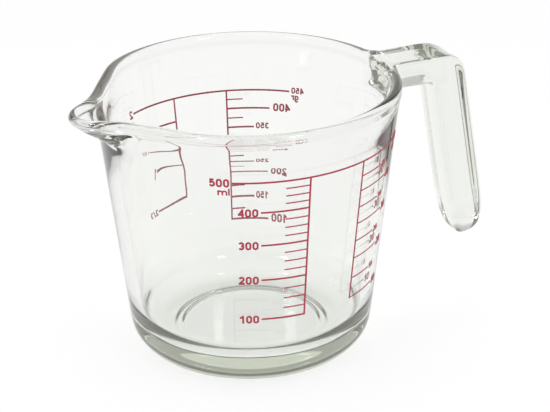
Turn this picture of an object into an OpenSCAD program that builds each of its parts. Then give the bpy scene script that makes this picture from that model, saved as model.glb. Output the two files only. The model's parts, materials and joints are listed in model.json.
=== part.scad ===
// Pressed glass measuring jug with four enamelled scales, in millimetres.
// The origin is the centre of the foot on the table, +Z is up, +X points along the handle
// and -X along the spout. The millilitre scale faces -Y and the gram scale faces +Y.

/* [Glass body] */
// Height of the rim above the table
jug_h = 104.3; // [90:0.1:130]
// Outer diameter over the rim bead
rim_d = 114.5; // [100:0.5:140]
// How far the rim bead stands out of the wall's cone
rim_out = 0.2; // [0:0.1:1]
// Thickness of the rim bead
rim_bead = 4.4; // [3.8:0.1:6]
// Outer diameter of the wall's cone, carried down to the table
cone_foot_d = 90.1; // [84:0.1:98]
// Thickness of the wall just under the rim
wall_top_t = 3.6; // [2.8:0.1:4.2]
// Thickness of the wall's cone at the table
wall_low_t = 4.8; // [4:0.1:6]
// Height of the inner floor above the table
floor_h = 9.5; // [7:0.1:13]
// Radius of the inner corner between wall and floor
floor_fillet_r = 12; // [6:0.5:18]
// Outer diameter of the standing ring
foot_d = 71; // [64:0.5:80]
// Height of the rounded heel
heel_h = 11; // [6:0.5:14]
// Outer diameter of the hollow under the base
recess_d = 60.6; // [50:0.2:62]
// Outer diameter of the deeper middle of that hollow
step_d = 54.6; // [40:0.2:56]
// Width of each step's sloping edge
recess_edge = 1.2; // [0.6:0.1:2]
// Depth of the hollow under the base
recess_h = 1.3; // [0.8:0.1:2.5]
// Depth of its outer ring
step_h = 0.6; // [0.3:0.1:0.7]

/* [Spout] */
// How far the spout's tip stands out of the rim
spout_reach = 11.8; // [8:0.1:16]
// Radius of the rounded tip, seen from above
spout_tip_r = 12; // [8:0.5:14]
// Thickness of the spout's lip
lip_t = 3.6; // [3:0.1:4.4]
// Drop of the lip below the rim
lip_drop = 2.2; // [0:0.1:3]
// Width of the spout where it leaves the rim
spout_w = 35; // [30:0.5:44]
// Depth of the pouring channel at the throat, below the rim
throat_depth = 8.9; // [5:0.1:12]
// Radius across the pouring channel at the throat
throat_r = 7; // [5:0.5:10]
// Depth of the spout's keel at the wall, below the rim
keel_depth = 13.6; // [9:0.1:18]
// Radius of the keel
keel_r = 5; // [3.5:0.5:8]

/* [Handle] */
// Width of the handle's strap
handle_w = 19; // [15:0.5:24]
// Height of the handle's top arm
arm_t = 11.7; // [10:0.1:15]
// Drop of the arm's top below the rim
arm_drop = 0.1; // [0.1:0.1:2]
// Radius of the arm's upper edges
arm_edge_r = 2; // [1:0.5:5]
// Radius of the arm's lower edges
arm_under_r = 5; // [1:0.5:5]
// Radius of the leg's edges
leg_edge_r = 4; // [2:0.5:5.5]
// Distance from the jug's axis to the middle of the leg, level with the middle of the arm
leg_mid = 81.5; // [74:0.1:95]
// Thickness of the leg under the bend
leg_top_t = 14; // [12:0.1:15]
// Thickness of the leg where its rounded tip starts
leg_low_t = 14.2; // [12:0.1:16]
// Height of the leg's tip above the table
leg_tip_h = 24.6; // [14:0.1:44]
// Length over which the tip narrows
tip_length = 22; // [10:0.5:26]
// Slant of the leg from the upright, in degrees
leg_slant = 9.4; // [4:0.1:14]
// Radius of the bend outside, from arm to leg
bend_out_r = 11; // [8:0.5:16]
// Radius of the corner under the arm
bend_in_r = 4; // [2:0.5:8]

/* [Enamel scales] */
// Thickness of the enamel
ink_t = 0.15; // [0.05:0.01:0.3]
// Width of the heavy lines
line_w = 0.65; // [0.4:0.05:1]
// Width of the fine lines
fine_w = 0.45; // [0.3:0.05:0.8]
// Depth of the 100, 200, 300, 400 and 500 millilitre lines below the rim
line_drops = [73.9, 57.4, 43.1, 29.8, 17.9]; // [10:0.1:80]
// Height of the large numerals
big_h = 3.3; // [2.5:0.1:4.5]
// Height of the small numerals
small_h = 2.5; // [1.8:0.1:3.5]
// Space between a line's end and its numeral
label_gap = 0.6; // [0.3:0.1:2.5]
// The same for the large gram numerals
gram_gap = 1.2; // [0.3:0.1:2.5]
// How far the gram numerals stand above the middle of their lines
gram_lift = 0.5; // [0:0.1:1]

/* [Hidden] */

// Facets of round forms, and points on rounded corners
$fn = 96;
hull_fn = 32;
lip_fn = 16;
bead_points = 14;
heel_points = 9;
fillet_points = 10;
bend_points = 9;
edge_points = 4;
tip_points = 11;
tip_turn = 86;
glyph_points = 9;

// Overrun of every cut
over = 0.5;

// Lowest and highest amount of the millilitre scale and of the gram scale
ml_ends = [100, 500];
gram_ends = [100, 450];
// Steps of the fine lines, the small numerals and the large numerals
steps = [25, 50, 100];
// Millilitres in a centilitre and in a cup
unit_ml = [10, 225];
// A weighed amount g takes g * (first + second * g) millilitres
gram_volume = [0.77, 0.00051];

// Places of the scales round the jug, in degrees from the handle
ml_az = -90.3;
cl_az = -65.4;
gram_az = 75.4;
cup_az = 99.6;
// Reach of the lines from their upright, in degrees: fine, small label, large label, top line
fine_reach = 9.4;
cl_fine_reach = 13.2;
gram_fine_reach = 7;
small_reach = 11.8;
big_reach = 18.8;
top_reach = 29.2;
cl_top_reach = 25;
gram_top_reach = 27.5;
cup_top_reach = 24.3;

// The wall: outer and inner radius at a height, and the outer cone's tilt
cone_foot_r = cone_foot_d / 2;
rim_r = rim_d / 2;
wall_top_r = rim_r - rim_out;
flare = (wall_top_r - cone_foot_r) / jug_h;
tilt = atan(flare);
function wall_r(z) = cone_foot_r + flare * z;
function wall_t(z) = wall_low_t + (wall_top_t - wall_low_t) * z / jug_h;
function inner_r(z) = wall_r(z) - wall_t(z);
in_flare = (inner_r(jug_h) - inner_r(0)) / jug_h;
in_tilt = atan(in_flare);

// Names for the amounts, and the height of each amount between its neighbouring lines
low_ml = ml_ends[0];
full_ml = ml_ends[1];
low_g = gram_ends[0];
top_g = gram_ends[1];
fine_step = steps[0];
small_step = steps[1];
big_step = steps[2];
function line_below(ml) = min(max(floor((ml - low_ml) / big_step), 0), len(line_drops) - 2);
function level(ml) =
    let (i = line_below(ml), rise = line_drops[i] - line_drops[i + 1])
    jug_h - line_drops[i] + rise * ((ml - low_ml) / big_step - i);
function gram_ml(g) = g * (gram_volume[0] + gram_volume[1] * g);

// Points on an arc about [x, z]
function arc(x, z, r, from, to, n) =
    [for (i = [0:n]) let (a = from + (to - from) * i / n) [x + r * cos(a), z + r * sin(a)]];

// The inner corner is tangent to the wall's cone and to the floor
fillet_z = floor_h + floor_fillet_r;
fillet_x = inner_r(fillet_z) - floor_fillet_r / cos(in_tilt);

// Outer outline of the wall from the standing ring up, with a rounded heel
foot_r = foot_d / 2;
heel_in = cone_foot_r - foot_r;
function heel_at(a) = [wall_r(heel_h) - flare * heel_h * sin(a) - heel_in * (1 - cos(a)),
                       heel_h * (1 - sin(a))];
heel = [for (i = [0:heel_points]) heel_at(90 - 90 * i / heel_points)];
recess_r = recess_d / 2;
step_r = step_d / 2;
bead_z = jug_h - rim_bead / 2;
bead_x = rim_r - rim_bead / 2;

module wall_outline() {
    polygon(concat(
        [[0, recess_h], [step_r - recess_edge, recess_h], [step_r, step_h]],
        [[recess_r - recess_edge, step_h], [recess_r, 0]],
        heel,
        [[wall_r(bead_z), bead_z], [0, bead_z]]));
}

module hollow_outline() {
    polygon(concat(
        [[0, floor_h]],
        arc(fillet_x, fillet_z, floor_fillet_r, -90, -in_tilt, fillet_points),
        [[inner_r(jug_h + over), jug_h + over], [0, jug_h + over]]));
}

// Spout: a rounded lip, two ends that die into the rim bead and a keel that runs into the wall
tip_x = rim_r + spout_reach - spout_tip_r;
lip_top = jug_h - lip_drop;
end_share = 0.85;
end_y = spout_w / 2;
end_x = sqrt(bead_x * bead_x - end_y * end_y);
keel_x = wall_r(jug_h - keel_depth) - keel_r;
channel_tip_r = spout_tip_r - lip_t * 3 / 4;
channel_end_y = end_y - rim_bead / 2;
channel_r = rim_bead / 4;

module spout_outside() {
    hull() {
        translate([-tip_x, 0, lip_top - lip_t / 2])
            rotate_extrude($fn = hull_fn)
                translate([spout_tip_r - lip_t / 2, 0])
                    circle(d = lip_t, $fn = lip_fn);
        for (side = [-1, 1])
            translate([-end_x, side * end_y, bead_z])
                sphere(d = lip_t * end_share, $fn = hull_fn);
        translate([-keel_x, 0, jug_h - keel_depth + keel_r])
            sphere(r = keel_r, $fn = hull_fn);
    }
}

module spout_channel() {
    hull() {
        translate([-tip_x, 0, lip_top - lip_t / 3])
            cylinder(h = lip_t, r = channel_tip_r, $fn = hull_fn);
        translate([-(bead_x - throat_r), 0, jug_h - throat_depth + throat_r])
            sphere(r = throat_r, $fn = hull_fn);
        for (side = [-1, 1])
            translate([-end_x, side * channel_end_y, bead_z])
                cylinder(h = rim_bead, r = channel_r, $fn = hull_fn);
    }
}

// Wall, thick base, rim bead and spout
module body() {
    color([0.88, 0.94, 0.9, 0.35])
        difference() {
            union() {
                rotate_extrude() {
                    difference() {
                        wall_outline();
                        hollow_outline();
                    }
                    translate([bead_x, bead_z])
                        circle(d = rim_bead, $fn = 4 * bead_points);
                }
                difference() {
                    spout_outside();
                    rotate_extrude() hollow_outline();
                }
            }
            spout_channel();
        }
}

// Points of a corner p rounded with radius r, between its neighbours a and b
function unit(v) = v / norm(v);
function rounded(a, p, b, r, n) =
    let (u = unit(a - p), v = unit(b - p), half = acos(u * v) / 2)
    let (c = p + unit(u + v) * r / sin(half))
    let (s = p + u * r / tan(half) - c, e = p + v * r / tan(half) - c)
    let (a0 = atan2(s[1], s[0]), turn = atan2(s[0] * e[1] - s[1] * e[0], s * e))
    [for (i = [0:n]) c + r * [cos(a0 + turn * i / n), sin(a0 + turn * i / n)]];

// The handle's outer and inner outline, seen from the side: a level arm and a free leg that
// leans outwards. Paired points of both carry rounded sections
half_w = handle_w / 2;
arm_root = inner_r(jug_h);
arm_top = jug_h - arm_drop;
arm_low = arm_top - arm_t;
leg_down = [sin(leg_slant), -cos(leg_slant)];
leg_across = [cos(leg_slant), sin(leg_slant)];
leg_start = [leg_mid, arm_top - arm_t / 2];
leg_length = (leg_start[1] - leg_tip_h) / cos(leg_slant) - tip_length;
leg_end = leg_start + leg_down * leg_length;
out_end = leg_end + leg_across * leg_low_t / 2;
in_end = leg_end - leg_across * leg_low_t / 2;
function at_height(p, q, z) = p + (q - p) * (z - p[1]) / (q[1] - p[1]);
out_corner = at_height(leg_start + leg_across * leg_top_t / 2, out_end, arm_top);
in_corner = at_height(leg_start - leg_across * leg_top_t / 2, in_end, arm_low);
out_line = concat(
    [[arm_root, arm_top]],
    rounded([arm_root, arm_top], out_corner, out_end, bend_out_r, bend_points),
    [out_end]);
in_line = concat(
    [[arm_root, arm_low]],
    rounded([arm_root, arm_low], in_corner, in_end, bend_in_r, bend_points),
    [in_end]);

// A section between an outer point o and an inner point i, its edges rounded with radius e_out and
// e_in, its width and thickness taken as shares of the full ones
function section(o, i, e_out, e_in, w_share, t_share) =
    let (m = (o + i) / 2, across = unit(o - i), half_t = norm(o - i) / 2)
    [for (q = [0:3], j = [0:edge_points])
        let (a = 90 * q + 90 * j / edge_points, e = q < 2 ? e_out : e_in)
        let (y = (q == 0 || q == 3 ? 1 : -1) * (half_w - e) + e * cos(a))
        let (t = (q < 2 ? 1 : -1) * (half_t - e) + e * sin(a))
        [m[0] + across[0] * t * t_share, y * w_share, m[1] + across[1] * t * t_share]];

// The edges change round the bend. The tip narrows early and thins only near its end
thin_share = 4;
function edge_r(k, arm_r) = arm_r + (leg_edge_r - arm_r) * min(max(k - 1, 0) / bend_points, 1);
function tip_section(a) =
    section(out_end + leg_down * tip_length * sin(a), in_end + leg_down * tip_length * sin(a),
            leg_edge_r, leg_edge_r, cos(a), sqrt(1 - pow(sin(a), thin_share)));
sections = concat(
    [for (k = [0:len(out_line) - 1])
        section(out_line[k], in_line[k], edge_r(k, arm_edge_r), edge_r(k, arm_under_r), 1, 1)],
    [for (j = [1:tip_points]) tip_section(tip_turn * j / tip_points)]);

module handle() {
    n = len(sections[0]);
    last = len(sections) - 1;
    sides = [for (k = [0:last - 1], j = [0:n - 1])
        let (a = k * n + j, b = k * n + (j + 1) % n)
        each [[a, b, b + n], [a, b + n, a + n]]];
    ends = [[for (j = [n - 1:-1:0]) j], [for (j = [0:n - 1]) last * n + j]];
    color([0.88, 0.94, 0.9, 0.35])
        difference() {
            polyhedron([for (ring = sections) each ring], concat(sides, ends));
            rotate_extrude() wall_solid_outline();
        }
}

// The room that wall, bead and hollow take up, which the handle's root stops at
module wall_solid_outline() {
    wall_outline();
    translate([0, floor_h])
        square([bead_x, jug_h - floor_h + over]);
    translate([bead_x, bead_z])
        circle(d = rim_bead, $fn = 4 * bead_points);
}

// A line round the wall at height z, over a span of degrees
module ring_line(z, from, to, w) {
    low = z - w / 2;
    high = z + w / 2;
    rotate([0, 0, min(from, to)])
        rotate_extrude(angle = abs(to - from))
            polygon([[wall_r(low), low], [wall_r(low) + ink_t, low],
                     [wall_r(high) + ink_t, high], [wall_r(high), high]]);
}

// An upright line on the wall
module upright(az, low, high, w) {
    rotate([0, 0, az])
        translate([wall_r(low), 0, low])
            rotate([0, tilt, 0])
                translate([0, -w / 2, 0])
                    cube([ink_t, w, (high - low) / cos(tilt)]);
}

// Flat artwork laid on the wall, its origin at azimuth az and height z
module on_wall(az, z) {
    rotate([0, 0, az])
        translate([wall_r(z), 0, z])
            rotate([0, tilt, 0])
                rotate([90, 0, 90])
                    linear_extrude(ink_t)
                        children();
}

// Glyphs: centre lines in shares of the numeral's height, swept with a bold stroke
stroke_share = 0.215;
digit_w_share = 0.66;
advance_share = 0.76;
x_height_share = 0.72;
mid_share = digit_w_share / 2;
edge_share = stroke_share / 2;
bowl_share = mid_share - edge_share;
low_bowl_share = edge_share + bowl_share;
top_bowl_share = 1 - low_bowl_share;
small_r_share = (x_height_share - stroke_share) / 2;
arch_r_share = 0.19;
wide_arch_r_share = 0.28;

function normals(p) = [for (i = [0:len(p) - 2]) let (d = unit(p[i + 1] - p[i])) [-d[1], d[0]]];
function side_point(p, n, i, d) =
    i == 0 ? p[0] + d * n[0]
    : i == len(p) - 1 ? p[i] + d * n[i - 1]
    : p[i] + d * (n[i - 1] + n[i]) / (1 + n[i - 1] * n[i]);
function side_points(p, d) = let (n = normals(p)) [for (i = [0:len(p) - 1]) side_point(p, n, i, d)];
function reversed(p) = [for (i = [len(p) - 1:-1:0]) p[i]];

module stroke(p) {
    polygon(concat(side_points(p, edge_share), reversed(side_points(p, -edge_share))));
}

// A closed oval stroke w wide between heights low and high
module oval(w, low, high) {
    difference() {
        round_ended(w, low, high);
        translate([stroke_share, 0])
            round_ended(w - 2 * stroke_share, low + stroke_share, high - stroke_share);
    }
}

module round_ended(w, low, high) {
    r = w / 2;
    polygon(concat(
        arc(r, high - r, r, 0, 180, glyph_points),
        arc(r, low + r, r, 180, 360, glyph_points)));
}

module digit_1() {
    stroke([[mid_share + edge_share, 0], [mid_share + edge_share, 1]]);
    stroke([[edge_share, top_bowl_share], [mid_share + edge_share, 1 - edge_share]]);
}

module digit_2() {
    stroke(concat(
        arc(mid_share, top_bowl_share, bowl_share, 165, -35, glyph_points),
        [[edge_share, edge_share]]));
    stroke([[0, edge_share], [digit_w_share, edge_share]]);
}

module digit_3() {
    stroke(arc(mid_share, top_bowl_share, bowl_share, 155, -90, glyph_points));
    stroke(arc(mid_share, low_bowl_share, bowl_share, 90, -155, glyph_points));
}

module digit_4() {
    stem = digit_w_share - 3 * edge_share / 2;
    stroke([[stem, 0], [stem, 1]]);
    stroke([[0, low_bowl_share], [digit_w_share, low_bowl_share]]);
    stroke([[stem, 1 - edge_share], [edge_share, low_bowl_share]]);
}

module digit_5() {
    stroke([[stroke_share, 1 - edge_share], [digit_w_share - edge_share, 1 - edge_share]]);
    stroke([[stroke_share, 1], [edge_share + edge_share / 2, low_bowl_share + edge_share]]);
    stroke(arc(mid_share, low_bowl_share + edge_share / 2, bowl_share + edge_share / 4, 145, -155,
               glyph_points));
}

module letter_c() {
    stroke(arc(mid_share, small_r_share + edge_share, small_r_share, 50, 310, glyph_points));
}

module letter_arch(x, r) {
    stroke(concat(
        arc(x + r, x_height_share - edge_share - r, r, 180, 0, glyph_points),
        [[x + 2 * r, 0]]));
}

module letter_m() {
    stroke([[edge_share, 0], [edge_share, x_height_share]]);
    letter_arch(edge_share, wide_arch_r_share);
    letter_arch(edge_share + 2 * wide_arch_r_share, wide_arch_r_share);
}

module letter_g() {
    oval(digit_w_share, 0, x_height_share);
    stroke(concat(
        [[digit_w_share - edge_share, x_height_share]],
        arc(mid_share, 0, bowl_share, 0, -150, glyph_points)));
}

module letter_p() {
    oval(digit_w_share, 0, x_height_share);
    stroke([[edge_share, x_height_share], [edge_share, -mid_share]]);
}

module letter_u() {
    stroke(concat(
        [[edge_share, x_height_share]],
        arc(mid_share, low_bowl_share, bowl_share, 180, 345, glyph_points)));
    stroke([[digit_w_share - edge_share, 0], [digit_w_share - edge_share, x_height_share]]);
}

module letter_r() {
    stroke([[edge_share, 0], [edge_share, x_height_share]]);
    stroke(arc(edge_share + arch_r_share, x_height_share - edge_share - arch_r_share, arch_r_share,
               180, 35, glyph_points));
}

module glyph(ch) {
    if (ch == "0") oval(digit_w_share, 0, 1);
    if (ch == "1") digit_1();
    if (ch == "2") digit_2();
    if (ch == "3") digit_3();
    if (ch == "4") digit_4();
    if (ch == "5") digit_5();
    if (ch == "m") letter_m();
    if (ch == "l") stroke([[edge_share, 0], [edge_share, 1]]);
    if (ch == "c") letter_c();
    if (ch == "g") letter_g();
    if (ch == "r") letter_r();
    if (ch == "u") letter_u();
    if (ch == "p") letter_p();
    if (ch == "/") stroke([[edge_share, 0], [digit_w_share - edge_share, 1]]);
}

// Width of each glyph and the gap after it, as a share of the numeral's height
letter_gap_share = advance_share - digit_w_share;
function advance(ch) =
    ch == "m" ? letter_gap_share + stroke_share + 4 * wide_arch_r_share
    : ch == "l" ? letter_gap_share + stroke_share
    : ch == "r" ? advance_share - arch_r_share
    : ch == " " ? mid_share
    : advance_share;
function run_share(chars, n) = n == 0 ? 0 : advance(chars[n - 1]) + run_share(chars, n - 1);
function run_deg(chars, n, h, z) = run_share(chars, n) * h / wall_r(z) * 180 / PI;

// A word on the wall, each glyph flat on its own patch. It starts at azimuth az, or ends there
module wall_word(chars, az, z, h, ends = false) {
    start = ends ? az - run_deg(chars, len(chars), h, z) : az;
    for (i = [0:len(chars) - 1])
        on_wall(start + run_deg(chars, i + 1, h, z) - advance(chars[i]) * h / wall_r(z) * 90 / PI, z)
            translate([-h * advance(chars[i]) / 2, -h / 2])
                scale(h)
                    glyph(chars[i]);
}

gap_deg = label_gap / wall_r(level(full_ml)) * 180 / PI;
gram_gap_deg = gram_gap / wall_r(level(full_ml)) * 180 / PI;
unit_share = 0.8;
unit_h = big_h * unit_share;
unit_drop = big_h / 2 + unit_h / 2 + small_h / 5;

// Millilitre scale: a line every 25, a longer one with its numeral every 100
module ml_lines() {
    color([0.62, 0.1, 0.18]) {
        upright(ml_az, level(low_ml) - line_w / 2, level(full_ml), line_w);
        ring_line(level(full_ml), ml_az - top_reach, cl_az + cl_top_reach, line_w);
        for (ml = [low_ml:fine_step:full_ml - fine_step])
            ring_line(level(ml), ml_az - (ml % big_step == 0 ? big_reach : fine_reach), ml_az,
                      ml % big_step == 0 ? line_w : fine_w);
    }
}

module ml_numerals() {
    color([0.62, 0.1, 0.18]) {
        for (ml = [low_ml:big_step:full_ml - big_step])
            wall_word(str(ml), ml_az - big_reach - gap_deg, level(ml), big_h, true);
        wall_word(str(full_ml), ml_az - top_reach - gap_deg, level(full_ml), big_h, true);
        wall_word("ml", ml_az - top_reach - gap_deg, level(full_ml) - unit_drop, unit_h, true);
    }
}

// Centilitre scale: a line every 5, a longer one every 10, its numerals on the far side
function cl_reach(ml) = ml % big_step == 0 ? big_reach : cl_fine_reach;
module cl_lines() {
    color([0.62, 0.1, 0.18]) {
        upright(cl_az, level(low_ml) - line_w / 2, level(full_ml) - line_w / 2, line_w);
        for (ml = [low_ml:small_step:full_ml - small_step])
            ring_line(level(ml), cl_az, cl_az + cl_reach(ml), fine_w);
    }
}

module cl_numerals() {
    color([0.62, 0.1, 0.18]) {
        for (ml = [low_ml:small_step:full_ml - small_step])
            wall_word(str(ml / unit_ml[0]), cl_az + cl_reach(ml) + gap_deg, level(ml),
                      ml % big_step == 0 ? big_h : small_h);
        wall_word(str(full_ml / unit_ml[0]), cl_az + cl_top_reach + gap_deg, level(full_ml), big_h);
        wall_word("cl", cl_az + cl_top_reach + gap_deg, level(full_ml) - unit_drop, unit_h);
    }
}

// Gram scale: a line every 25 and numerals every 50. The cup scale shares its top line
top_z = level(gram_ml(top_g));
function gram_z(g) = level(gram_ml(g));
function gram_reach(g) =
    g % big_step == 0 ? big_reach : g % small_step == 0 ? small_reach : gram_fine_reach;
module gram_lines() {
    color([0.62, 0.1, 0.18]) {
        upright(gram_az, gram_z(low_g) - line_w / 2, top_z, line_w);
        ring_line(top_z, gram_az - gram_top_reach, cup_az + cup_top_reach, line_w);
        for (g = [low_g:fine_step:top_g - fine_step])
            ring_line(gram_z(g), gram_az - gram_reach(g), gram_az,
                      g % small_step == 0 ? line_w : fine_w);
    }
}

module gram_numerals() {
    color([0.62, 0.1, 0.18]) {
        for (g = [low_g:big_step:top_g])
            wall_word(str(g), gram_az - big_reach - gram_gap_deg, gram_z(g) + gram_lift, big_h, true);
        for (g = [low_g + small_step:big_step:top_g - small_step])
            wall_word(str(g), gram_az - small_reach - gap_deg, gram_z(g) + gram_lift, small_h, true);
        wall_word(str(top_g), gram_az - gram_top_reach - gap_deg, top_z + gram_lift, small_h, true);
        wall_word("gr", gram_az - gram_top_reach - gap_deg, top_z + gram_lift - small_h, unit_h, true);
    }
}

// Cup scale: a line every third of a cup
cup_thirds = [2, 3, 4, 5];
cup_words = ["2/3", "1", "1 1/3", "1 2/3"];
function cup_z(thirds) = level(thirds * unit_ml[1] / 3);
module cup_lines() {
    color([0.62, 0.1, 0.18]) {
        upright(cup_az, cup_z(cup_thirds[0]) - line_w / 2, top_z - line_w / 2, line_w);
        for (thirds = cup_thirds)
            ring_line(cup_z(thirds), cup_az, cup_az + big_reach, line_w);
    }
}

module cup_numerals() {
    color([0.62, 0.1, 0.18]) {
        for (i = [0:len(cup_thirds) - 1])
            wall_word(cup_words[i], cup_az + big_reach + gap_deg, cup_z(cup_thirds[i]), small_h);
        wall_word("2", cup_az + cup_top_reach + gap_deg, top_z, big_h);
        wall_word("cup", cup_az + cup_top_reach + gap_deg, top_z - unit_drop, small_h);
    }
}

body();
handle();
ml_lines();
ml_numerals();
cl_lines();
cl_numerals();
gram_lines();
gram_numerals();
cup_lines();
cup_numerals();
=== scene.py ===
"""Pressed glass measuring jug: clear glass, red enamel scales and a plain white stage.

All sizes are in metres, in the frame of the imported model: the origin is the centre of the foot,
+Z is up, +X points along the handle and -X along the spout.
"""

import json
import math

import bmesh
import bpy
from bpy.props import FloatProperty, FloatVectorProperty, IntProperty, PointerProperty
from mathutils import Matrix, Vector
from mathutils.kdtree import KDTree

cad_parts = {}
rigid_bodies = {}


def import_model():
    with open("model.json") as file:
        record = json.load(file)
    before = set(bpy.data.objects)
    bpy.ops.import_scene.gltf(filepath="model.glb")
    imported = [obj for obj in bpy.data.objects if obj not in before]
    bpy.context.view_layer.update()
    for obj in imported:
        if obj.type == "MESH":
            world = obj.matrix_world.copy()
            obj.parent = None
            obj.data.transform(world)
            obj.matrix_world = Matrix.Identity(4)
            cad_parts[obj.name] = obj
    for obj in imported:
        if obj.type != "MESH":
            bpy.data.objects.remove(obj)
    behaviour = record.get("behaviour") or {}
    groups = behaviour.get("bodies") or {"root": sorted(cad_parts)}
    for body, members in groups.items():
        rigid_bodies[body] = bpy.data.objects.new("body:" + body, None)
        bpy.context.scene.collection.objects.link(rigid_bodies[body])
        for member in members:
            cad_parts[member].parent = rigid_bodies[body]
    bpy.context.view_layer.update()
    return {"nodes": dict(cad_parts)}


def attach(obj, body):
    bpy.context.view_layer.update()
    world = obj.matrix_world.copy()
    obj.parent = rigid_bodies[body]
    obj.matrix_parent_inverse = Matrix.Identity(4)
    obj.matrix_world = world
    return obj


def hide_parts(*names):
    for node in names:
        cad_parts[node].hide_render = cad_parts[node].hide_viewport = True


bl_info = {
    "name": "Glass measuring jug",
    "version": (1, 0, 0),
    "blender": (4, 5, 0),
    "location": "3D View > Sidebar > Jug",
    "description": "Builds a pressed glass measuring jug with enamel scales",
    "category": "Add Mesh",
}

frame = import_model()

SCALES = (
    "ml_lines",
    "ml_numerals",
    "cl_lines",
    "cl_numerals",
    "gram_lines",
    "gram_numerals",
    "cup_lines",
    "cup_numerals",
)

MM = 0.001
# Lengths under this count as nothing
TINY = 1e-6

# The wall's thinning from foot to rim: share of the height, share of the thinning, its slope
WALL_PROFILE = (
    (0.0, 0.0, 0.42),
    (0.69, 0.29, 0.51),
    (0.767, 0.435, 3.15),
    (0.8245, 0.616, 3.25),
    (0.863, 0.804, 6.7),
    (0.887, 0.935, 3.75),
    (0.911, 0.993, 1.4),
    (0.93, 1.0, 0.0),
    (1.0, 1.0, 0.0),
)

# Where the wall starts to swell into the rim, and over how much, in shares of the height
SWELL_INSIDE = (0.948, 0.032)
SWELL_OUTSIDE = (0.87, 0.11)

# The mesh rows, in millimetres: radii on the underside and on the floor, heights on the wall
UNDERSIDE_ROWS = (0, 12, 21)
FLOOR_ROWS = (14, 0)
OUTER_ROWS = (15, 21, 28, 36, 45, 55, 65, 74, 80, 84, 87, 89.4, 91, 92.6, 94.2, 95.8, 97.4, 98.8)
BEAD_ROWS = (100.1, 100.7, 101.4)
THROAT_ROWS = (99.5, 98.8, 98.1, 97.4, 96.7, 96, 95.3, 94.6, 93.2, 91.6, 89.6)
INNER_ROWS = (87, 84, 80, 76, 70, 62, 52, 42, 32, 25)
# Steps round the heel, the two parts of the bead and the floor's fillet, and the angle at which
# the bead's parts meet, where the handle's root ends
HEEL_STEPS = 9
BEAD_OUT_STEPS = 4
BEAD_IN_STEPS = 7
FILLET_STEPS = 9
BEAD_SPLIT = 59
# How far the standing ring's middle row lies outside the middle of the ring, and how far the
# floor's first row lies inside the fillet
STANDING_SHIFT = 0.0004
FLOOR_SHIFT = 0.004
# A sloping step under the base: place in shares of its width, height in shares of its height
STEP_PROFILE = ((-1.3, 1.0), (-1.0, 0.9), (-0.5, 0.5), (0.0, 0.1), (0.5, 0.0))

# The spout's bumps over the angle away from its middle, and where it ends, in degrees
SPOUT_END = 80
LIP_SPREAD = 18
DROP_SPREAD = 30
NECK_PLACE = 33
NECK_SPREAD = 12
# How far down the bead its foot lies, and the wall's thickness there as a share of the lip's
BEAD_FOOT_SHARE = 0.95
LIP_WALL_SHARE = 0.35
# How the keel rises towards the flanks and curves out to the lip
KEEL_RISE = 0.006
KEEL_POWER = 1.1
# How the pouring channel rises towards its flanks and curves out to the lip
FLANK_RISE_SHARE = 0.9
FLANK_POWER = 0.7
CHANNEL_POWER = 0.6
# Radius inside which nothing is moved for the spout, and how much its columns crowd
STILL_RADIUS = 0.01
CROWDING = 0.3

# Depth of the wall's outer layer that carries prints and the handle, and the prints' top
LAYER = 0.001
PRINT_TOP = 0.088
# How far the handle's root may reach above the arm, and how far outside the rim the strap starts
ROOT_OVER = 0.0003
STRAP_START = 0.0016
# Sections of the arm, the bend, the leg and the tip, and the tip's last angle
ARM_STEPS = 5
BEND_STEPS = 9
LEG_STEPS = 7
TIP_STEPS = 11
TIP_TURN = 86

# Values of the materials' nodes
GLASS_MOTTLE = {"Slow Scale": 22.0, "Fine Scale": 160.0, "Fine Share": 0.04}
GLASS_ROUGH = {"From Min": 0.3, "From Max": 0.9, "To Min": 0.0, "To Max": 0.012}
GLASS_RIPPLE_DEPTH = 0.001
ENAMEL_MOTTLE = {"Slow Scale": 140.0, "Fine Scale": 1800.0, "Fine Share": 0.5}
ENAMEL_ROUGH = {"To Min": 0.28, "To Max": 0.5}
ENAMEL_BUMP = {"Strength": 0.15, "Distance": 0.0001}
MASK_RANGE = {"From Min": 0.55, "From Max": 0.75}

# The stage: floor, world, lamps and camera
FLOOR_SIZE = 6.0
FLOOR_PAINT = {"Base Color": (0.93, 0.93, 0.93, 1.0), "Roughness": 0.9, "Specular IOR Level": 0.1}
FLOOR_GLOW = 0.6
WORLD_STRENGTH = 0.93
# Greys of the world that the glass shows, by the height of the ray's direction
WORLD_GREYS = ((0.0, 1.0), (0.12, 1.0), (0.3, 0.6), (0.62, 0.55), (1.0, 0.9))
LAMPS = (("left window", (-0.9, -0.35, 0.9)), ("right window", (0.25, -0.95, 0.9)))
LAMP_TARGET = (0.0, 0.0, 0.05)
LAMP_WIDTH = 0.18
LAMP_LENGTH = 0.25
LAMP_POWER = 2.8
CAMERA_LENS = 124.36
CAMERA_PLACE = (-0.26182, -0.60215, 0.34455)
CAMERA_TURN = (1.153359, 0.01205, -0.430459)


def length(name, default, description):
    """A length in metres that the panel lists."""
    return FloatProperty(
        name=name, default=default, description=description, unit="LENGTH", precision=5, min=0.0
    )


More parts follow.
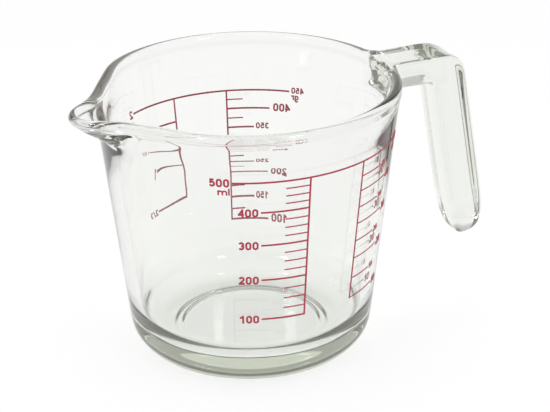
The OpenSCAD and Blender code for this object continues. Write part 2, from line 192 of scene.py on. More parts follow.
class JugSizes(bpy.types.PropertyGroup):
    """Sizes of the glass"""

    height: length("Height", 0.1043, "Height of the rim above the table")
    rim_radius: length("Rim radius", 0.05725, "Outer radius over the rim bead")
    rim_bead: length("Rim bead", 0.0044, "Thickness of the rim bead")
    wall_foot_radius: length("Cone foot", 0.04505, "Outer radius of the wall's cone at the table")
    wall_rim_radius: length("Cone rim", 0.05705, "Outer radius of the wall's cone at the rim")
    wall_foot: length("Wall at foot", 0.0048, "Thickness of the wall's cone at the table")
    wall_rim: length("Wall at rim", 0.00342, "Thickness of the wall under the rim")
    print_bed: length("Print bed", 0.00003, "How far the glass laps the back of the enamel")
    floor_height: length("Floor", 0.0095, "Height of the inner floor")
    floor_fillet: length("Floor fillet", 0.012, "Radius between the floor and the wall")
    foot_radius: length("Foot radius", 0.0355, "Outer radius of the standing ring")
    heel_height: length("Heel", 0.011, "Height of the rounded heel")
    recess_radius: length("Hollow", 0.0303, "Radius of the hollow under the base")
    step_radius: length("Step", 0.0273, "Radius of the deeper middle of the hollow")
    recess_edge: length("Step edge", 0.0015, "Width of each step's sloping edge")
    recess_depth: length("Hollow depth", 0.0013, "Depth of the hollow under the base")
    step_depth: length("Ring depth", 0.0006, "Depth of the hollow's outer ring")
    spout_reach: length("Spout reach", 0.0118, "How far the spout stands out of the rim")
    spout_tip: length("Spout tip", 0.0122, "Radius of the spout's tip from above")
    spout_flank: FloatProperty(
        name="Spout flank",
        default=math.radians(33.6),
        description="Angle between each flank of the spout and its middle",
        subtype="ANGLE",
    )
    spout_blend: length("Spout blend", 0.0062, "How softly the flanks run into the rim")
    neck: length("Neck", 0.0017, "How far the rim is drawn in beside the spout")
    lip: length("Lip", 0.0035, "Thickness of the spout's lip")
    lip_drop: length("Lip drop", 0.0023, "Drop of the spout's lip below the rim")
    pull: length("Pull", 0.022, "Depth below the rim over which the wall follows the spout")
    spout_keel: length("Keel depth", 0.0133, "Depth of the spout's keel below the rim")
    spout_throat: length("Throat depth", 0.0089, "Depth of the pouring channel below the rim")
    strap_width: length("Strap width", 0.019, "Width of the handle's strap")
    arm_edge: length("Arm edge", 0.002, "Radius of the arm's upper edges")
    arm_under: length("Arm underside", 0.005, "Radius of the arm's lower edges")
    leg_edge: length("Leg edge", 0.004, "Radius of the leg's edges")
    arm_dish: length("Arm dish", 0.0007, "Depth of the hollow along the arm's top")
    arm_height: length("Arm height", 0.0117, "Height of the handle's arm")
    arm_drop: length("Arm drop", 0.0001, "Drop of the arm's top below the rim")
    leg_middle: length("Leg place", 0.0815, "Distance from the axis to the leg, level with the arm")
    leg_top: length("Leg top", 0.014, "Thickness of the leg under the bend")
    leg_end: length("Leg end", 0.0142, "Thickness of the leg where its tip starts")
    leg_tip: length("Tip height", 0.0246, "Height of the leg's tip")
    tip_length: length("Tip length", 0.022, "Length over which the tip narrows")
    leg_slant: FloatProperty(
        name="Leg slant",
        default=math.radians(9.4),
        description="Slant of the leg from the upright",
        subtype="ANGLE",
    )
    bend_outside: length("Outer bend", 0.011, "Radius outside the bend")
    bend_inside: length("Inner bend", 0.004, "Radius of the corner under the arm")
    root_fillet: length("Root fillet", 0.0014, "Spread of the handle where it meets the wall")
    around: IntProperty(name="Columns", default=160, description="Columns round the jug", min=64)


class JugFinish(bpy.types.PropertyGroup):
    """Colours and finish of glass and enamel"""

    glass_tint: FloatVectorProperty(
        name="Glass tint",
        default=(0.966, 0.968, 0.963),
        description="Tint at each face of the glass",
        subtype="COLOR",
        min=0.0,
        max=1.0,
    )
    glass_depth_tint: FloatVectorProperty(
        name="Depth tint",
        default=(0.47, 0.54, 0.35),
        description="Colour that deep glass turns to",
        subtype="COLOR",
        min=0.0,
        max=1.0,
    )
    glass_density: FloatProperty(
        name="Depth density",
        default=10.5,
        description="How fast the tint grows with depth",
        min=0.0,
    )
    shadow_tint: FloatVectorProperty(
        name="Shadow tint",
        default=(0.95, 0.96, 0.95),
        description="Light that each face of the glass lets through to the table",
        subtype="COLOR",
        min=0.0,
        max=1.0,
    )
    glass_ior: FloatProperty(name="Glass IOR", default=1.5, description="Index of refraction")
    trapped_depth: FloatProperty(
        name="Trapped after",
        default=3.5,
        description="Reflections inside the glass after which light comes straight out",
        min=1.0,
    )
    trapped_tint: FloatVectorProperty(
        name="Trapped tint",
        default=(0.34, 0.32, 0.31),
        description="What is left of light that was reflected inside the glass so often",
        subtype="COLOR",
        min=0.0,
        max=1.0,
    )
    ripple: FloatProperty(
        name="Ripple", default=0.08, description="Strength of the pressing ripple", min=0.0
    )
    enamel: FloatVectorProperty(
        name="Enamel",
        default=(0.33, 0.012, 0.035),
        description="Colour of the enamel",
        subtype="COLOR",
        min=0.0,
        max=1.0,
    )
    enamel_thin: FloatVectorProperty(
        name="Thin enamel",
        default=(0.45, 0.035, 0.07),
        description="Colour where the enamel printed thin",
        subtype="COLOR",
        min=0.0,
        max=1.0,
    )


def deselect_everything():
    for item in bpy.context.view_layer.objects:
        item.select_set(False)


def on_arc(x, z, radius, start, end, steps, skip_first=False):
    """Points on an arc about (x, z), angles in degrees."""
    points = []
    for i in range(1 if skip_first else 0, steps + 1):
        angle = math.radians(start + (end - start) * i / steps)
        points.append((x + radius * math.cos(angle), z + radius * math.sin(angle)))
    return points


def ease(share):
    """Runs smoothly from 0 to 1."""
    share = min(max(share, 0.0), 1.0)
    return share * share * (3 - 2 * share)


def wall_radius(size, z):
    """Outer radius of the wall's cone at a height."""
    return size.wall_foot_radius + (size.wall_rim_radius - size.wall_foot_radius) * z / size.height


def outer_radius(size, z):
    """The wall's cone, which runs smoothly into the rim."""
    start, run = SWELL_OUTSIDE
    flush = size.rim_radius - wall_radius(size, size.height - size.rim_bead / 2)
    return wall_radius(size, z) + flush * ease((z / size.height - start) / run)


def inner_radius(size, z):
    """The wall thins ever faster towards the rim, levels off under it and swells into the bead.

    WALL_PROFILE is joined by a smooth curve with the slopes that it gives."""
    share = z / size.height
    for low, high in zip(WALL_PROFILE, WALL_PROFILE[1:]):
        if share < high[0]:
            break
    width = high[0] - low[0]
    u = min((share - low[0]) / width, 1.0)
    thin = low[1] * (1 + 2 * u) * (1 - u) ** 2 + high[1] * u * u * (3 - 2 * u)
    thin += width * (low[2] * u * (1 - u) ** 2 - high[2] * u * u * (1 - u))
    thick = size.wall_foot + (size.wall_rim - size.wall_foot) * thin
    start, run = SWELL_INSIDE
    thick += (size.rim_bead - size.wall_rim) * ease((share - start) / run)
    return outer_radius(size, z) - thick


def bead_centre(size):
    """Radius and height of the middle of the rim bead."""
    return size.rim_radius - size.rim_bead / 2, size.height - size.rim_bead / 2


def glass_outline(size):
    """Outline of the glass from the middle of its base, up the wall, over the rim and back in."""
    points = [(radius * MM, size.recess_depth) for radius in UNDERSIDE_ROWS]
    for radius, low, high in (
        (size.step_radius, size.step_depth, size.recess_depth),
        (size.recess_radius, 0.0, size.step_depth),
    ):
        for out, up in STEP_PROFILE:
            points.append((radius + out * size.recess_edge, low + up * (high - low)))
    points.append(((size.recess_radius + size.foot_radius) / 2 + STANDING_SHIFT, 0.0))
    heel_in = size.wall_foot_radius - size.foot_radius
    heel_radius = wall_radius(size, size.heel_height)
    drop = heel_radius - size.wall_foot_radius
    for i in range(HEEL_STEPS + 1):
        angle = math.radians(90 - 90 * i / HEEL_STEPS)
        radius = heel_radius - drop * math.sin(angle) - heel_in * (1 - math.cos(angle))
        points.append((radius, size.heel_height * (1 - math.sin(angle))))
    for z in OUTER_ROWS + BEAD_ROWS:
        points.append((outer_radius(size, z * MM), z * MM))
    x, z = bead_centre(size)
    bead_radius = size.rim_bead / 2
    points += on_arc(x, z, bead_radius, 0, BEAD_SPLIT, BEAD_OUT_STEPS)
    points += on_arc(x, z, bead_radius, BEAD_SPLIT, 180, BEAD_IN_STEPS, skip_first=True)
    for z in BEAD_ROWS[::-1] + THROAT_ROWS + INNER_ROWS:
        points.append((inner_radius(size, z * MM), z * MM))
    lean = inner_radius(size, size.height / 2) - inner_radius(size, 0)
    tilt = math.atan(lean * 2 / size.height)
    fillet_z = size.floor_height + size.floor_fillet
    fillet_x = inner_radius(size, fillet_z) - size.floor_fillet / math.cos(tilt)
    start = -math.degrees(tilt)
    points += on_arc(fillet_x, fillet_z, size.floor_fillet, start, -90, FILLET_STEPS)
    points.append((fillet_x - FLOOR_SHIFT, size.floor_height))
    points += [(radius * MM, size.floor_height) for radius in FLOOR_ROWS]
    return points


def soft_max(a, b, blend):
    """The larger of two lengths, rounded where they are close."""
    h = max(blend - abs(a - b), 0.0) / blend
    return max(a, b) + h * h * blend / 4


def spout_plan(size, away, inset):
    """Radius of the spout's plan at an angle away from its middle, moved in by inset."""
    centre = size.rim_radius + size.spout_reach - size.spout_tip
    radius = size.spout_tip - inset
    normal = math.pi / 2 - size.spout_flank
    reach = centre * math.cos(normal) + radius
    tangent = math.atan2(radius * math.sin(normal), centre + radius * math.cos(normal))
    if away < tangent:
        return centre * math.cos(away) + math.sqrt(radius * radius - (centre * math.sin(away)) ** 2)
    return reach / max(math.cos(away - normal), 0.1)


def bell(away, place, spread):
    """A smooth bump over the angle away from the spout's middle, in degrees."""
    return math.exp(-(((math.degrees(away) - place) / spread) ** 2))


def shape_spout(size, vertices):
    """Draws the wall and the rim out to the pouring spout, and in beside it."""
    bead_x, bead_z = bead_centre(size)
    half = size.rim_bead / 2
    bead_low = bead_z - BEAD_FOOT_SHARE * half
    keel_z = size.height - size.spout_keel
    throat_z = size.height - size.spout_throat
    for vertex in vertices:
        x, y, z = vertex.co
        rho = math.hypot(x, y)
        away = abs(math.atan2(y, -x))
        if z < size.height - size.pull or rho < STILL_RADIUS or away > math.radians(SPOUT_END):
            continue
        lip = half - (half - size.lip / 2) * bell(away, 0, LIP_SPREAD)
        outer = soft_max(spout_plan(size, away, half - lip), bead_x + lip, size.spout_blend)
        inner = soft_max(spout_plan(size, away, half + lip), bead_x - lip, size.spout_blend)
        neck = size.neck * bell(away, NECK_PLACE, NECK_SPREAD)
        drop = size.lip_drop * bell(away, 0, DROP_SPREAD)
        out = min(max((outer + inner - 2 * bead_x) / size.spout_reach, 0.0), 1.0)
        middle = (outer + inner) / 2
        wide = (outer - inner) / 2
        outside = rho > (wall_radius(size, z) + inner_radius(size, z)) / 2
        side = 1 if outside else -1
        follow = ease((z - size.height + size.pull) / (size.pull - size.rim_bead))
        if z > bead_low:
            if z < bead_z:
                round_rho = bead_x + side * math.sqrt(half * half - (z - bead_z) ** 2)
                rho_here = rho + (round_rho - rho) * out
            else:
                rho_here = rho
            moved = middle + (rho_here - bead_x) * wide / half
            z = bead_z + (z - bead_z) * lip / half
        else:
            target = middle + side * LIP_WALL_SHARE * wide
            plain = rho + (middle - bead_x)
            target = plain + (target - plain) * out
            if outside:
                low = keel_z + KEEL_RISE * (1 - out)
                power = KEEL_POWER
            else:
                rise = FLANK_RISE_SHARE * (bead_low - throat_z)
                low = throat_z + rise * (1 - out) ** FLANK_POWER
                power = CHANNEL_POWER
            ramp = max((z - low) / (bead_low - low), 0.0) ** power
            moved = rho + (target - rho) * ramp
        moved -= neck * follow
        vertex.co = (x * moved / rho, y * moved / rho, z - drop * follow)


def crowd_columns(size, vertices):
    """Moves the columns closer together round the spout, where the plan turns quickly."""
    for vertex in vertices:
        x, y, z = vertex.co
        rho = math.hypot(x, y)
        if rho < TINY:
            continue
        away = math.atan2(y, -x)
        away -= CROWDING * math.sin(2 * away) * math.cos(away / 2) ** 2
        vertex.co = (-rho * math.cos(away), rho * math.sin(away), z)


def bed_prints(size, vertices):
    """Moves the wall's outer face out to lap the back of the enamel."""
    for vertex in vertices:
        x, y, z = vertex.co
        rho = math.hypot(x, y)
        if rho > wall_radius(size, z) - LAYER and size.heel_height < z < PRINT_TOP:
            share = (rho + size.print_bed) / rho
            vertex.co = (x * share, y * share, z)


def unit(v):
    return v / v.length


def rounded(a, corner, b, radius, steps):
    """Points of the corner between a and b, rounded."""
    u = unit(a - corner)
    v = unit(b - corner)
    half = math.acos(max(-1.0, min(1.0, u.dot(v)))) / 2
    centre = corner + unit(u + v) * radius / math.sin(half)
    start = corner + u * radius / math.tan(half) - centre
    end = corner + v * radius / math.tan(half) - centre
    first = math.atan2(start.y, start.x)
    turn = math.atan2(start.x * end.y - start.y * end.x, start.dot(end))
    points = []
    for i in range(steps + 1):
        angle = first + turn * i / steps
        points.append(centre + radius * Vector((math.cos(angle), math.sin(angle))))
    return points


def at_height(p, q, z):
    """The point at height z on the line through p and q."""
    return p + (q - p) * (z - p.y) / (q.y - p.y)


def strap_path(size):
    """Sections of the strap.

    Each has an outer and an inner point, the radii of its edges, the depth of its dish and the
    shares of the full width and thickness."""
    top = size.height - size.arm_drop
    low = top - size.arm_height
    down = Vector((math.sin(size.leg_slant), -math.cos(size.leg_slant)))
    across = Vector((math.cos(size.leg_slant), math.sin(size.leg_slant)))
    start = Vector((size.leg_middle, top - size.arm_height / 2))
    run = (start.y - size.leg_tip) / math.cos(size.leg_slant) - size.tip_length
    end = start + down * run
    out_end = end + across * size.leg_end / 2
    in_end = end - across * size.leg_end / 2
    out_corner = at_height(start + across * size.leg_top / 2, out_end, top)
    in_corner = at_height(start - across * size.leg_top / 2, in_end, low)
    root = size.rim_radius + STRAP_START
    out_bend = rounded(Vector((root, top)), out_corner, out_end, size.bend_outside, BEND_STEPS)
    in_bend = rounded(Vector((root, low)), in_corner, in_end, size.bend_inside, BEND_STEPS)
    arm_edges = (size.arm_edge, size.arm_under)
    leg_edges = (size.leg_edge, size.leg_edge)
    sections = []
    for i in range(ARM_STEPS):
        share = i / ARM_STEPS
        outer = Vector((root + (out_bend[0].x - root) * share, top))
        inner = Vector((root + (in_bend[0].x - root) * share, low))
        sections.append((outer, inner, arm_edges, size.arm_dish, 1.0, 1.0))
    for i, (outer, inner) in enumerate(zip(out_bend, in_bend)):
        edges = [edge + (size.leg_edge - edge) * i / BEND_STEPS for edge in arm_edges]
        sections.append((outer, inner, edges, size.arm_dish * (1 - i / BEND_STEPS), 1.0, 1.0))
    for i in range(1, LEG_STEPS + 1):
        outer = out_bend[-1].lerp(out_end, i / LEG_STEPS)
        inner = in_bend[-1].lerp(in_end, i / LEG_STEPS)
        sections.append((outer, inner, leg_edges, 0.0, 1.0, 1.0))
    for i in range(1, TIP_STEPS + 1):
        angle = math.radians(TIP_TURN * i / TIP_STEPS)
        move = down * size.tip_length * math.sin(angle)
        narrow = math.cos(angle)
        thin = math.sqrt(1 - math.sin(angle) ** 4)
        sections.append((out_end + move, in_end + move, leg_edges, 0.0, narrow, thin))
    return sections


def side_run(count, half, first_edge, last_edge, corner_steps=2):
    """Places of count + 1 points along one side of a rounded section, from corner to corner.

    Each place is a distance along the side and a drop below its face."""
    start = first_edge - half
    end = half - last_edge
    places = []
    for i in range(corner_steps):
        angle = math.radians(45 - 45 * i / corner_steps)
        places.append((start - first_edge * math.sin(angle), first_edge * (1 - math.cos(angle))))
    steps = count - 2 * corner_steps
    for i in range(steps + 1):
        places.append((start + (end - start) * i / steps, 0.0))
    for i in range(1, corner_steps + 1):
        angle = math.radians(45 * i / corner_steps)
        places.append((end + last_edge * math.sin(angle), last_edge * (1 - math.cos(angle))))
    return places


def strap_section(size, section, columns, rows):
    """A grid over one section of the strap: its rim is the strap's surface, the rest fills it."""
    outer, inner, (top_edge, low_edge), dish, width_share, thick_share = section
    middle = (outer + inner) / 2
    across = unit(outer - inner)
    half_thick = (outer - inner).length / 2
    half_width = size.strap_width / 2
    upright = side_run(rows, half_thick, low_edge, top_edge)
    grid = {}

    def put(column, row, y, t):
        point = middle + across * t * thick_share
        grid[column, row] = Vector((point.x, y * width_share, point.y))

    for column, (y, drop) in enumerate(side_run(columns, half_width, top_edge, top_edge)):
        put(column, rows, y, half_thick - drop - dish * (1 - (y / half_width) ** 2))
    for column, (y, drop) in enumerate(side_run(columns, half_width, low_edge, low_edge)):
        put(column, 0, y, drop - half_thick)
    for row, (t, drop) in enumerate(upright):
        put(0, row, drop - half_width, t)
        put(columns, row, half_width - drop, t)
    for column in range(1, columns):
        for row in range(1, rows):
            u = column / columns
            v = row / rows
            bottom = grid[0, 0].lerp(grid[columns, 0], u)
            top = grid[0, rows].lerp(grid[columns, rows], u)
            grid[column, row] = (
                grid[0, row].lerp(grid[columns, row], u)
                + grid[column, 0].lerp(grid[column, rows], v)
                - bottom.lerp(top, v)
            )
    return grid


def strap_root(size, mesh):
    """Picks the wall's faces that the strap grows from. Returns its grid of places on the wall."""
    low = size.height - size.arm_drop - size.arm_height - size.root_fillet
    top = size.height - size.arm_drop + ROOT_OVER
    spread = size.strap_width / 2 + size.root_fillet
    bead_x = bead_centre(size)[0]
    picked = []
    for face in mesh.faces:
        place = face.calc_center_median()
        outside = math.hypot(place.x, place.y) > min(bead_x, wall_radius(size, place.z) - LAYER)
        face.select = False
        if place.x > 0 and outside and abs(place.y) < spread and low < place.z < top:
            picked.append(face)
    for face in picked:
        face.select_set(True)
    corners = {vertex for face in picked for vertex in face.verts}
    turns = sorted({round(math.atan2(vertex.co.y, vertex.co.x), 4) for vertex in corners})
    heights = sorted({round(vertex.co.z, 6) for vertex in corners})
    grid = {}
    for vertex in corners:
        turn = math.atan2(vertex.co.y, vertex.co.x)
        column = min(range(len(turns)), key=lambda i: abs(turns[i] - turn))
        row = min(range(len(heights)), key=lambda i: abs(heights[i] - vertex.co.z))
        grid[column, row] = vertex.co.copy()
    return grid, len(turns) - 1, len(heights) - 1


def grow_strap(size, jug):
    """Extrudes the handle out of the wall, section by section."""
    bpy.ops.object.mode_set(mode="EDIT")
    bpy.ops.mesh.select_mode(type="FACE")
    bpy.ops.mesh.select_all(action="DESELECT")
    mesh = bmesh.from_edit_mesh(jug.data)
    here, columns, rows = strap_root(size, mesh)
    bmesh.update_edit_mesh(jug.data)
    for section in strap_path(size):
        there = strap_section(size, section, columns, rows)
        bpy.ops.mesh.extrude_region_move(TRANSFORM_OT_translate={"value": (0.0, 0.0, 0.0)})
        mesh = bmesh.from_edit_mesh(jug.data)
        keys = list(here)
        tree = KDTree(len(keys))
        for index, key in enumerate(keys):
            tree.insert(here[key], index)
        tree.balance()
        for vertex in mesh.verts:
            if vertex.select:
                vertex.co = there[keys[tree.find(vertex.co)[1]]]
        bmesh.update_edit_mesh(jug.data)
        here = there
    bpy.ops.mesh.select_all(action="SELECT")
    bpy.ops.mesh.normals_make_consistent(inside=False)
    bpy.ops.object.mode_set(mode="OBJECT")


class JUG_OT_glass(bpy.types.Operator):
    """Model the pressed glass: wall, base, rim bead, spout and handle in one piece"""

    bl_idname = "jug.glass"
    bl_label = "Glass"

    def execute(self, context):
        size = context.scene.jug_sizes
        deselect_everything()
        outline = glass_outline(size)
        bpy.ops.mesh.primitive_plane_add(size=0.01, location=(0.0, 0.0, 0.0))
        jug = context.active_object
        jug.name = "glass_jug"
        bpy.ops.object.mode_set(mode="EDIT")
        bpy.ops.mesh.select_mode(type="VERT")
        bpy.ops.mesh.select_all(action="SELECT")
        bpy.ops.mesh.merge(type="CENTER")
        bpy.ops.transform.translate(value=(outline[0][0], 0.0, outline[0][1]))
        for before, after in zip(outline, outline[1:]):
            step = (after[0] - before[0], 0.0, after[1] - before[1])
            bpy.ops.mesh.extrude_region_move(TRANSFORM_OT_translate={"value": step})
        bpy.ops.mesh.select_all(action="SELECT")
        bpy.ops.mesh.spin(
            steps=size.around, angle=2 * math.pi, center=(0.0, 0.0, 0.0), axis=(0.0, 0.0, 1.0)
        )
        bpy.ops.mesh.select_all(action="SELECT")
        bpy.ops.mesh.remove_doubles(threshold=TINY)
        bpy.ops.mesh.normals_make_consistent(inside=False)
        bpy.ops.object.mode_set(mode="OBJECT")
        crowd_columns(size, jug.data.vertices)
        shape_spout(size, jug.data.vertices)
        bed_prints(size, jug.data.vertices)
        grow_strap(size, jug)
        smooth = jug.modifiers.new("fire polish", "SUBSURF")
        smooth.levels = 1
        smooth.render_levels = 1
        bpy.ops.object.modifier_apply(modifier=smooth.name)
        bpy.ops.object.shade_smooth()
        jug.data.materials.append(glass_material(context.scene.jug_finish))
        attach(jug, "root")
        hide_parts("body", "handle")
        return {"FINISHED"}


class JUG_OT_enamel(bpy.types.Operator):
    """Finish the four printed scales in fired red enamel"""

    bl_idname = "jug.enamel"
    bl_label = "Enamel scales"

    def execute(self, context):
        enamel = enamel_material(context.scene.jug_finish)
        for name in SCALES:
            print_piece = frame["nodes"][name]
            print_piece.data.materials.clear()
            print_piece.data.materials.append(enamel)
        return {"FINISHED"}


def put_node(tree, kind, place, **settings):
    node = tree.nodes.new(kind)
    node.location = place
    for name, value in settings.items():
        setattr(node, name, value)
    return node


def set_inputs(node, values):
    for name, value in values.items():
        node.inputs[name].default_value = value


def mottle_group():
    """Slow and fine variation over a surface, shared by glass and enamel."""
    name = "fired mottle"
    if name in bpy.data.node_groups:
        return bpy.data.node_groups[name]
    group = bpy.data.node_groups.new(name, "ShaderNodeTree")
    face = group.interface
    place = face.new_socket("Place", in_out="INPUT", socket_type="NodeSocketVector")
    place.hide_value = True
    for title, default in (("Slow Scale", 30.0), ("Fine Scale", 400.0), ("Fine Share", 0.3)):
        socket = face.new_socket(title, in_out="INPUT", socket_type="NodeSocketFloat")
        socket.default_value = default
    face.new_socket("Height", in_out="OUTPUT", socket_type="NodeSocketFloat")
    face.new_socket("Mask", in_out="OUTPUT", socket_type="NodeSocketFloat")
    start = put_node(group, "NodeGroupInput", (-600, 0))
    end = put_node(group, "NodeGroupOutput", (400, 0))
    slow = put_node(group, "ShaderNodeTexNoise", (-300, 150))
    slow.inputs["Detail"].default_value = 1.0
    fine = put_node(group, "ShaderNodeTexNoise", (-300, -150))
    fine.inputs["Detail"].default_value = 3.0
    mixed = put_node(group, "ShaderNodeMix", (0, 0), data_type="FLOAT")
    mask = put_node(group, "ShaderNodeMapRange", (200, -200))
    set_inputs(mask, MASK_RANGE)
    link = group.links.new
    link(start.outputs["Place"], slow.inputs["Vector"])
    link(start.outputs["Place"], fine.inputs["Vector"])
    link(start.outputs["Slow Scale"], slow.inputs["Scale"])
    link(start.outputs["Fine Scale"], fine.inputs["Scale"])
    link(start.outputs["Fine Share"], mixed.inputs["Factor"])
    link(slow.outputs["Fac"], mixed.inputs["A"])
    link(fine.outputs["Fac"], mixed.inputs["B"])
    link(mixed.outputs["Result"], end.inputs["Height"])
    link(fine.outputs["Fac"], mask.inputs["Value"])
    link(mask.outputs["Result"], end.inputs["Mask"])
    return group


def new_material(name):
    """A material with a mottle that follows the piece's own coordinates."""
    material = bpy.data.materials.new(name)
    material.use_nodes = True
    tree = material.node_tree
    shader = tree.nodes["Principled BSDF"]
    place = put_node(tree, "ShaderNodeTexCoord", (-1000, 0))
    mottle = put_node(tree, "ShaderNodeGroup", (-800, 0), node_tree=mottle_group())
    tree.links.new(place.outputs["Object"], mottle.inputs["Place"])
    return material, tree, shader, mottle


def glass_material(finish):
    """Clear glass with depth tint. Shadow rays and much reflected light pass straight through."""
    material, tree, shader, mottle = new_material("clear pressed glass")
    shader.inputs["Base Color"].default_value = (*finish.glass_tint, 1.0)
    shader.inputs["Transmission Weight"].default_value = 1.0
    shader.inputs["IOR"].default_value = finish.glass_ior
    set_inputs(mottle, GLASS_MOTTLE)
    rough = put_node(tree, "ShaderNodeMapRange", (-400, 200))
    set_inputs(rough, GLASS_ROUGH)
    bump = put_node(tree, "ShaderNodeBump", (-400, -200))
    set_inputs(bump, {"Strength": finish.ripple, "Distance": GLASS_RIPPLE_DEPTH})
    dimmed = put_node(tree, "ShaderNodeMix", (100, -200), data_type="RGBA")
    dimmed.inputs["A"].default_value = (*finish.shadow_tint, 1.0)
    dimmed.inputs["B"].default_value = (*finish.trapped_tint, 1.0)
    through = put_node(tree, "ShaderNodeBsdfTransparent", (300, -200))
    path = put_node(tree, "ShaderNodeLightPath", (-100, 300))
    trapped = put_node(tree, "ShaderNodeMath", (100, 200), operation="GREATER_THAN")
    trapped.inputs[1].default_value = finish.trapped_depth
    passes = put_node(tree, "ShaderNodeMath", (300, 300), operation="MAXIMUM")
    straight = put_node(tree, "ShaderNodeMixShader", (550, 0))
    tree.nodes["Material Output"].location = (750, 0)
    depth = put_node(tree, "ShaderNodeVolumeAbsorption", (300, -400))
    depth.inputs["Color"].default_value = (*finish.glass_depth_tint, 1.0)
    depth.inputs["Density"].default_value = finish.glass_density
    link = tree.links.new
    link(mottle.outputs["Height"], rough.inputs["Value"])
    link(rough.outputs["Result"], shader.inputs["Roughness"])
    link(mottle.outputs["Height"], bump.inputs["Height"])
    link(bump.outputs["Normal"], shader.inputs["Normal"])
    link(path.outputs["Glossy Depth"], trapped.inputs[0])
    link(path.outputs["Is Shadow Ray"], passes.inputs[0])
    link(trapped.outputs["Value"], passes.inputs[1])
    link(trapped.outputs["Value"], dimmed.inputs["Factor"])
    link(dimmed.outputs["Result"], through.inputs["Color"])
    link(passes.outputs["Value"], straight.inputs["Fac"])
    link(shader.outputs["BSDF"], straight.inputs[1])
    link(through.outputs["BSDF"], straight.inputs[2])
    link(straight.outputs["Shader"], tree.nodes["Material Output"].inputs["Surface"])
    link(depth.outputs["Volume"], tree.nodes["Material Output"].inputs["Volume"])
    return material


def enamel_material(finish):
    material, tree, shader, mottle = new_material("fired red enamel")
    set_inputs(mottle, ENAMEL_MOTTLE)
    colour = put_node(tree, "ShaderNodeMix", (-400, 200), data_type="RGBA")
    colour.inputs["A"].default_value = (*finish.enamel, 1.0)
    colour.inputs["B"].default_value = (*finish.enamel_thin, 1.0)
    rough = put_node(tree, "ShaderNodeMapRange", (-400, -50))
    set_inputs(rough, ENAMEL_ROUGH)
    bump = put_node(tree, "ShaderNodeBump", (-400, -300))
    set_inputs(bump, ENAMEL_BUMP)
    link = tree.links.new
    link(mottle.outputs["Mask"], colour.inputs["Factor"])
    link(colour.outputs["Result"], shader.inputs["Base Color"])
    link(mottle.outputs["Height"], rough.inputs["Value"])
    link(rough.outputs["Result"], shader.inputs["Roughness"])
    link(mottle.outputs["Height"], bump.inputs["Height"])
    link(bump.outputs["Normal"], shader.inputs["Normal"])
    return material


def stage_floor():
    """A white table that keeps the jug's shadow and stays bright where it is seen."""
    bpy.ops.mesh.primitive_plane_add(size=FLOOR_SIZE, location=(0.0, 0.0, 0.0))
    floor = bpy.context.active_object
    floor.name = "stage_floor"
    material = bpy.data.materials.new("stage white")
    material.use_nodes = True
    tree = material.node_tree
    shader = tree.nodes["Principled BSDF"]
    set_inputs(shader, FLOOR_PAINT)
    glow = put_node(tree, "ShaderNodeEmission", (0, -400))
    path = put_node(tree, "ShaderNodeLightPath", (-400, 300))
    seen = put_node(tree, "ShaderNodeMath", (-200, 300), operation="MAXIMUM")
    either = put_node(tree, "ShaderNodeMath", (0, 300), operation="MAXIMUM")
    share = put_node(tree, "ShaderNodeMath", (200, 300), operation="MULTIPLY")
    share.inputs[1].default_value = FLOOR_GLOW
    mixed = put_node(tree, "ShaderNodeMixShader", (400, 0))
    tree.nodes["Material Output"].location = (600, 0)
    link = tree.links.new
    link(path.outputs["Is Glossy Ray"], seen.inputs[0])
    link(path.outputs["Is Transmission Ray"], seen.inputs[1])
    link(seen.outputs["Value"], either.inputs[0])
    link(path.outputs["Is Camera Ray"], either.inputs[1])
    link(either.outputs["Value"], share.inputs[0])
    link(share.outputs["Value"], mixed.inputs["Fac"])
    link(shader.outputs["BSDF"], mixed.inputs[1])
    link(glow.outputs["Emission"], mixed.inputs[2])
    link(mixed.outputs["Shader"], tree.nodes["Material Output"].inputs["Surface"])
    floor.data.materials.append(material)


def stage_lamps():
    for name, place in LAMPS:
        light = bpy.data.lights.new(name, "AREA")
        light.shape = "RECTANGLE"
        light.size = LAMP_WIDTH
        light.size_y = LAMP_LENGTH
        light.energy = LAMP_POWER
        item = bpy.data.objects.new(name, light)
        bpy.context.scene.collection.objects.link(item)
        item.location = place
        ahead = Vector(LAMP_TARGET) - Vector(place)
        item.rotation_euler = ahead.to_track_quat("-Z", "Y").to_euler()


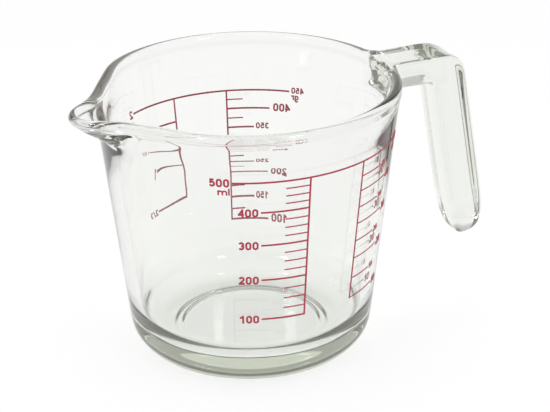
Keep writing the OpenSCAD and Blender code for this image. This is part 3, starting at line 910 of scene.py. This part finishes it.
def stage_world():
    """White light for the table and white behind the jug, greys where the glass shows the room."""
    world = bpy.data.worlds.new("studio")
    bpy.context.scene.world = world
    world.use_nodes = True
    tree = world.node_tree
    tree.nodes.clear()
    out = put_node(tree, "ShaderNodeOutputWorld", (800, 0))
    plain = put_node(tree, "ShaderNodeBackground", (200, 100))
    plain.inputs["Color"].default_value = (1.0, 1.0, 1.0, 1.0)
    plain.inputs["Strength"].default_value = WORLD_STRENGTH
    seen = put_node(tree, "ShaderNodeBackground", (200, -100))
    path = put_node(tree, "ShaderNodeLightPath", (-400, 300))
    place = put_node(tree, "ShaderNodeTexCoord", (-800, -200))
    split = put_node(tree, "ShaderNodeSeparateXYZ", (-600, -200))
    ramp = put_node(tree, "ShaderNodeValToRGB", (-400, -200))
    stops = ramp.color_ramp.elements
    for position, _ in WORLD_GREYS[1:-1]:
        stops.new(position)
    for stop, (position, grey) in zip(stops, WORLD_GREYS):
        stop.position = position
        stop.color = (grey, grey, grey, 1.0)
    lens = put_node(tree, "ShaderNodeMath", (-200, 300), operation="MAXIMUM")
    clear = put_node(tree, "ShaderNodeMix", (0, -200), data_type="RGBA")
    clear.inputs["B"].default_value = (1.0, 1.0, 1.0, 1.0)
    either = put_node(tree, "ShaderNodeMath", (0, 300), operation="MAXIMUM")
    mixed = put_node(tree, "ShaderNodeMixShader", (500, 0))
    link = tree.links.new
    link(place.outputs["Generated"], split.inputs["Vector"])
    link(split.outputs["Z"], ramp.inputs["Fac"])
    link(path.outputs["Is Glossy Ray"], lens.inputs[0])
    link(path.outputs["Is Transmission Ray"], lens.inputs[1])
    link(lens.outputs["Value"], either.inputs[0])
    link(path.outputs["Is Camera Ray"], either.inputs[1])
    link(path.outputs["Is Camera Ray"], clear.inputs["Factor"])
    link(ramp.outputs["Color"], clear.inputs["A"])
    link(clear.outputs["Result"], seen.inputs["Color"])
    link(either.outputs["Value"], mixed.inputs["Fac"])
    link(plain.outputs["Background"], mixed.inputs[1])
    link(seen.outputs["Background"], mixed.inputs[2])
    link(mixed.outputs["Shader"], out.inputs["Surface"])


def stage_camera():
    data = bpy.data.cameras.new("photo camera")
    data.sensor_width = 36.0
    data.sensor_fit = "HORIZONTAL"
    data.lens = CAMERA_LENS
    data.clip_start = 0.05
    camera = bpy.data.objects.new("photo camera", data)
    bpy.context.scene.collection.objects.link(camera)
    camera.location = CAMERA_PLACE
    camera.rotation_euler = CAMERA_TURN
    bpy.context.scene.camera = camera


class JUG_OT_stage(bpy.types.Operator):
    """Set the floor, the world, the lamps and the camera"""

    bl_idname = "jug.stage"
    bl_label = "Stage"

    def execute(self, context):
        deselect_everything()
        stage_floor()
        stage_world()
        stage_lamps()
        stage_camera()
        context.scene.view_settings.view_transform = "Standard"
        return {"FINISHED"}


class JUG_PT_panel(bpy.types.Panel):
    """Lists the jug's pieces and sizes"""

    bl_label = "Measuring jug"
    bl_idname = "JUG_PT_panel"
    bl_space_type = "VIEW_3D"
    bl_region_type = "UI"
    bl_category = "Jug"

    def draw(self, context):
        column = self.layout.column()
        for name in ("jug.glass", "jug.enamel", "jug.stage"):
            column.operator(name)
        for group in (context.scene.jug_sizes, context.scene.jug_finish):
            box = self.layout.box()
            for name in group.__annotations__:
                box.prop(group, name)


CLASSES = (JugSizes, JugFinish, JUG_OT_glass, JUG_OT_enamel, JUG_OT_stage, JUG_PT_panel)


def register():
    for item in CLASSES:
        bpy.utils.register_class(item)
    bpy.types.Scene.jug_sizes = PointerProperty(type=JugSizes)
    bpy.types.Scene.jug_finish = PointerProperty(type=JugFinish)


def unregister():
    del bpy.types.Scene.jug_finish
    del bpy.types.Scene.jug_sizes
    for item in reversed(CLASSES):
        bpy.utils.unregister_class(item)


def main():
    register()
    bpy.ops.jug.glass()
    bpy.ops.jug.enamel()
    bpy.ops.jug.stage()


if __name__ == "__main__":
    main()
